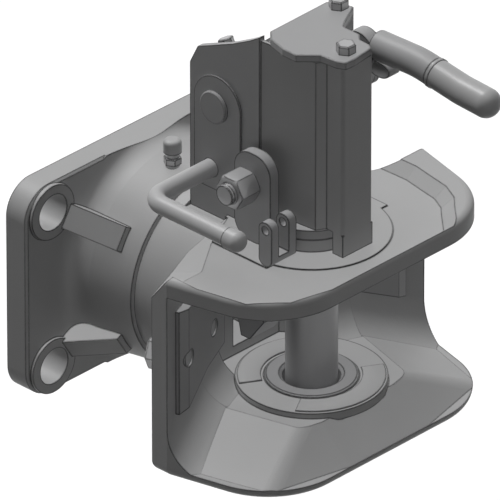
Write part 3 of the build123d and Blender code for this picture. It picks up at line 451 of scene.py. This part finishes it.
# %% Shared steps: a profile swept about the upright axis
def small_profile(corners, half_width, half_height, radius, height):
    """Triangle or square beside the axis, standing in the plane of X and Z."""
    begin()
    bpy.ops.mesh.primitive_circle_add(
        vertices=corners, radius=1.0, fill_type="NOTHING", rotation=(math.pi / 2, 0, 0)
    )
    piece = bpy.context.active_object
    take(piece)
    if corners == 4:
        bpy.ops.object.mode_set(mode="EDIT")
        bpy.ops.mesh.select_all(action="SELECT")
        bpy.ops.transform.rotate(value=math.pi / 4, orient_axis="Y", orient_type="GLOBAL")
        bpy.ops.transform.resize(value=(math.sqrt(2), 1, math.sqrt(2)))
        bpy.ops.object.mode_set(mode="OBJECT")
    settle(piece)
    piece.scale = (half_width, 1.0, half_height)
    put(piece, (radius, 0.0, height))
    return piece


def sweep(piece, start, degrees, steps, rise=0.0, turns=1):
    """Carry a profile about the upright axis, from a start angle, and close its ends."""
    turn(piece, (0, 0, start))
    use_modifier(piece, "SCREW", angle=math.radians(degrees), screw_offset=rise, steps=steps,
                 render_steps=steps, iterations=turns, axis="Z",
                 use_merge_vertices=(rise == 0 and degrees == 360), merge_threshold=WELD)
    close_up(piece)


# %% [markdown]
# Around the pin the seat has two raised wear faces, one ahead of it and one behind. A full ring
# cut by two planes would give them as well. A square profile swept through part of a turn needs no
# cutting, and its ends close with two faces.

# %% Raised crescents on the seat, ahead of and behind the pin
SEAT_TOP = -0.0385
CRESCENT_IN, CRESCENT_OUT = 0.0285, 0.0422
CRESCENT_HIGH = 0.0011
CRESCENT_SUNK = 0.0001
CRESCENT_SWEEP = 118
CRESCENT_STEPS = 60
CRESCENT_EDGE = 0.0004
pin_low, pin_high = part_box("coupling_pin")
pin_foot = Vector(((pin_low.x + pin_high.x) / 2, (pin_low.y + pin_high.y) / 2, 0))
for name, middle in (("front_crescent", -90), ("rear_crescent", 90)):
    crescent = small_profile(
        4, (CRESCENT_OUT - CRESCENT_IN) / 2, CRESCENT_HIGH / 2,
        (CRESCENT_IN + CRESCENT_OUT) / 2, 0
    )
    sweep(crescent, math.radians(middle - CRESCENT_SWEEP / 2), CRESCENT_SWEEP, CRESCENT_STEPS)
    put(crescent, pin_foot + Vector((0, 0, SEAT_TOP + CRESCENT_HIGH / 2 - CRESCENT_SUNK)))
    soften(crescent, CRESCENT_EDGE)
    hand_over(crescent, name, "cast_paint", "jaw")

# %% [markdown]
# A nut's corners are turned away on a lathe, and each flat ends in a curved line. Bevelling the
# prism's edges would not give those curves. So a hexagon is intersected with a turned disc whose
# rim is rounded, which is what the lathe does, and a bore is taken out. The result replaces the
# plain nut of the solid model and stays in its box.

# %% The nut's sizes, from its solid and its stud
nut_low, nut_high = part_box("bracket_nut")
stud_low, stud_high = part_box("bracket_stud")
nut_centre = (nut_low + nut_high) / 2
nut_long = nut_high.x - nut_low.x
nut_wide = nut_high.y - nut_low.y
nut_tall = nut_high.z - nut_low.z
nut_corner = max(nut_wide, nut_tall) / 2
stud_r = (stud_high.z - stud_low.z) / 2
print("nut across corners:", round(2 * nut_corner, 4))

# %% Chamfered nut on the bracket's stud
CHAMFER_SHARE = 0.16
DISC_OVER = 1.002
BORE_PLAY = 0.0003
NUT_EDGE = 0.00025
LIE_DOWN = (0, -math.pi / 2, 0)
begin()
bpy.ops.mesh.primitive_cylinder_add(vertices=6, radius=nut_corner, depth=nut_long)
nut = bpy.context.active_object
turn(nut, (0, 0, 0 if nut_tall > nut_wide else math.pi / 6))
begin()
bpy.ops.mesh.primitive_cylinder_add(vertices=72, radius=nut_corner * DISC_OVER, depth=nut_long)
turned_disc = bpy.context.active_object
use_modifier(turned_disc, "BEVEL", width=nut_corner * CHAMFER_SHARE, segments=3,
             limit_method="ANGLE", angle_limit=math.radians(60))
begin()
bpy.ops.mesh.primitive_cylinder_add(vertices=48, radius=stud_r + BORE_PLAY, depth=nut_long * 2)
bore = bpy.context.active_object
use_modifier(nut, "BOOLEAN", operation="INTERSECT", object=turned_disc, solver="EXACT")
use_modifier(nut, "BOOLEAN", operation="DIFFERENCE", object=bore, solver="EXACT")
bpy.data.objects.remove(turned_disc)
bpy.data.objects.remove(bore)
turn(nut, LIE_DOWN)
put(nut, nut_centre)
soften(nut, NUT_EDGE)
hand_over(nut, "chamfered_nut", "zinc_screw", "jaw")
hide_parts("bracket_nut")

# %% [markdown]
# The stud's end stands out of the nut and shows its thread. A bump pattern would vanish at the
# outline, so the ridge is a real triangle that climbs round the stud, two turns long. That is all
# that shows.

# %% Thread on the stud's free end
PITCH = 0.00175
RIDGE = 0.00062
RIDGE_SUNK = 0.0001
THREAD_TURNS = 2
THREAD_STEPS = 48
THREAD_START = 0.0002
THREAD_EDGE = 0.0001
thread = small_profile(3, RIDGE, RIDGE, stud_r - RIDGE_SUNK, 0)
sweep(thread, 0.0, 360, THREAD_STEPS, rise=PITCH, turns=THREAD_TURNS)
turn(thread, LIE_DOWN)
put(thread, (
    nut_low.x - THREAD_START, (stud_low.y + stud_high.y) / 2, (stud_low.z + stud_high.z) / 2
))
soften(thread, THREAD_EDGE, 1)
hand_over(thread, "stud_thread", "zinc_screw", "jaw")

# %% [markdown]
# The grip is dipped, and the dip ends in a small raised lip round the lever. A torus would be too
# round: the lip is flat on top, so a low rectangle is swept through a full turn and softened. It
# is tilted to the lever's own direction, which its start and its next point give.

# %% Lip where the grip begins on the lever
GRIP_START = Vector((0.0265, -0.2113, 0.17294))
GRIP_NEXT = Vector((0.0265, -0.2320, 0.16990))
GRIP_R = 0.0087
LIP_HALF_THICK = 0.00045
LIP_HALF_LONG = 0.0013
LIP_STEPS = 64
LIP_EDGE = 0.0003
grip_way = GRIP_NEXT - GRIP_START
lip = small_profile(4, LIP_HALF_THICK, LIP_HALF_LONG, GRIP_R, 0)
sweep(lip, 0.0, 360, LIP_STEPS)
turn(lip, grip_way.to_track_quat("Z", "Y").to_euler())
put(lip, GRIP_START + grip_way.normalized() * LIP_HALF_LONG)
soften(lip, LIP_EDGE)
hand_over(lip, "grip_lip", "dipped_grip", "lever")

# %% [markdown]
# Under the lever, just ahead of its hub, the drawing shows a short lug, taken here for its stop.
# A rounded box would be too square. A cylinder gets its ends inset and drawn in a little, and is
# then stretched along the lever, which makes it oval.

# %% Stop lug under the lever
LUG_PLACE = (0.0262, -0.1725, 0.1613)
LUG_R = 0.0050
LUG_LONG = 0.0095
LUG_SIDES = 48
LUG_RIM = 0.0016
LUG_DISH = 0.80
LUG_STRETCH = 1.7
LUG_EDGE = 0.0007
begin()
bpy.ops.mesh.primitive_cylinder_add(
    vertices=LUG_SIDES, radius=LUG_R, depth=LUG_LONG, rotation=(0, math.pi / 2, 0),
    location=LUG_PLACE
)
lug = bpy.context.active_object
bpy.ops.object.mode_set(mode="EDIT")
bpy.ops.mesh.select_mode(type="FACE")
bpy.ops.mesh.select_all(action="DESELECT")
bpy.ops.mesh.select_face_by_sides(number=LUG_SIDES, type="EQUAL")
bpy.ops.mesh.inset(thickness=LUG_RIM)
bpy.ops.transform.resize(value=(LUG_DISH, 1, 1))
bpy.ops.object.mode_set(mode="OBJECT")
lug.scale = (1, LUG_STRETCH, 1)
settle(lug)
close_up(lug)
soften(lug, LUG_EDGE, 3)
hand_over(lug, "lever_stop", "sheet_paint", "lever")

# %% [markdown]
# The split pin that locks the castle nut ends in an eye of bent wire. The solid model has the
# straight pin. A torus is the wire's true shape, pressed a little wider than high.

# %% Eye of the split pin behind the flange
EYE_R = 0.0025
EYE_WIRE = 0.0010
EYE_OUT = 0.0008
EYE_PRESSED = (1.15, 1, 0.9)
split_low, split_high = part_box("split_pin")
begin()
bpy.ops.mesh.primitive_torus_add(
    major_radius=EYE_R, minor_radius=EYE_WIRE, major_segments=40, minor_segments=16,
    rotation=(math.pi / 2, 0, 0),
    location=(split_low.x - EYE_OUT, (split_low.y + split_high.y) / 2,
              (split_low.z + split_high.z) / 2)
)
eye = bpy.context.active_object
eye.scale = EYE_PRESSED
settle(eye)
take(eye)
bpy.ops.object.shade_smooth()
hand_over(eye, "split_pin_eye", "zinc_screw", "jaw")
